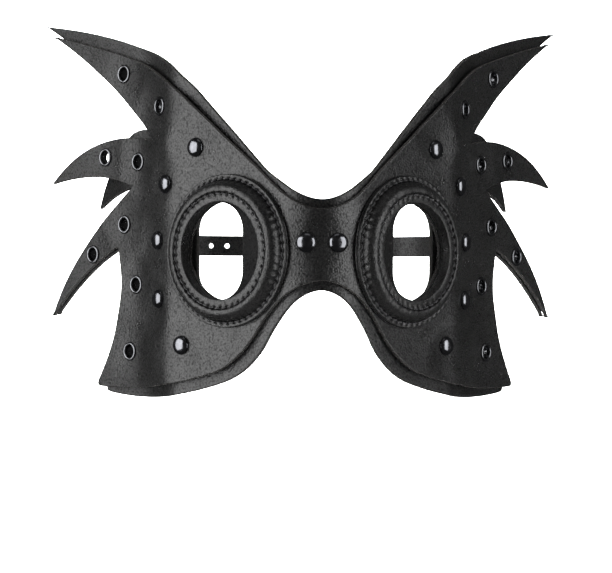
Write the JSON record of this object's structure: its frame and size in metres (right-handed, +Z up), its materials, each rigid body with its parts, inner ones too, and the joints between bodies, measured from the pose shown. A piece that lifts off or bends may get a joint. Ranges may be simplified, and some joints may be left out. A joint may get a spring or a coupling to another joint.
{
  "type": "layered leather goggle mask",
  "caption": "Layered leather half mask with stitched goggle rings, swept feather points, rivets, eyelets and a buckled head strap.",
  "frame": {"origin": "back face of the bridge in the mask's middle plane, at the height of the two bridge rivets", "axes": "+Z up, the mask's outer face looks along -Y, +X to the right of someone looking at the face of the mask"},
  "size_m": [0.2872, 0.2077, 0.2049],
  "materials": {
    "front_leather": "satin pebbled black",
    "back_leather": "satin pebbled black",
    "ring_leather": "satin pebbled black",
    "strap_leather": "satin black",
    "ring_foam": "matte black foam",
    "thread": "waxed black thread",
    "rivet_metal": "polished black nickel",
    "eyelet_metal": "polished black nickel",
    "buckle_metal": "polished black nickel"
  },
  "bodies": {
    "mask": {"front_panel": "front_leather", "back_panel": "back_leather", "eye_ring_base_left": "ring_leather", "eye_ring_base_right": "ring_leather", "eye_ring_pad_left": "ring_foam", "eye_ring_pad_right": "ring_foam", "eye_ring_cover_left": "ring_leather", "eye_ring_cover_right": "ring_leather", "outer_stitches_left": "thread", "outer_stitches_right": "thread", "inner_stitches_left": "thread", "inner_stitches_right": "thread", "bridge_rivet_caps": "rivet_metal", "bridge_rivet_posts": "rivet_metal", "side_rivet_caps_left": "rivet_metal", "side_rivet_caps_right": "rivet_metal", "side_rivet_posts_left": "rivet_metal", "side_rivet_posts_right": "rivet_metal", "eyelets_left": "eyelet_metal", "eyelets_right": "eyelet_metal", "eyelet_washers_left": "eyelet_metal", "eyelet_washers_right": "eyelet_metal"},
    "left_strap": {"strap_left": "strap_leather"},
    "right_strap": {"strap_right": "strap_leather", "strap_keeper": "strap_leather", "buckle_rivet_cap": "rivet_metal", "buckle_rivet_post": "rivet_metal"},
    "buckle": {"buckle_frame": "buckle_metal"},
    "roller": {"buckle_roller": "buckle_metal"},
    "prong": {"buckle_prong": "buckle_metal"}
  },
  "joints": [
    {"name": "left_strap_swing", "type": "hinge", "parent": "mask", "child": "left_strap", "pos_m": [-0.0774, 0.06246, 0.002], "axis": [0.866, 0.5, 0], "range_deg": [-25, 25]},
    {"name": "right_strap_swing", "type": "hinge", "parent": "mask", "child": "right_strap", "pos_m": [0.0774, 0.06246, 0.002], "axis": [0.866, -0.5, 0], "range_deg": [-25, 25]},
    {"name": "buckle_turn", "type": "hinge", "parent": "right_strap", "child": "buckle", "pos_m": [0.01294, 0.19329, 0.002], "axis": [0, 0, 1], "range_deg": [-45, 45]},
    {"name": "roller_spin", "type": "hinge", "parent": "buckle", "child": "roller", "pos_m": [-0.00506, 0.19329, 0.002], "axis": [0, 0, 1], "continuous": true},
    {"name": "prong_turn", "type": "hinge", "parent": "buckle", "child": "prong", "pos_m": [0.01294, 0.19329, 0.002], "axis": [0, 0, -1], "range_deg": [0, 75]}
  ]
}
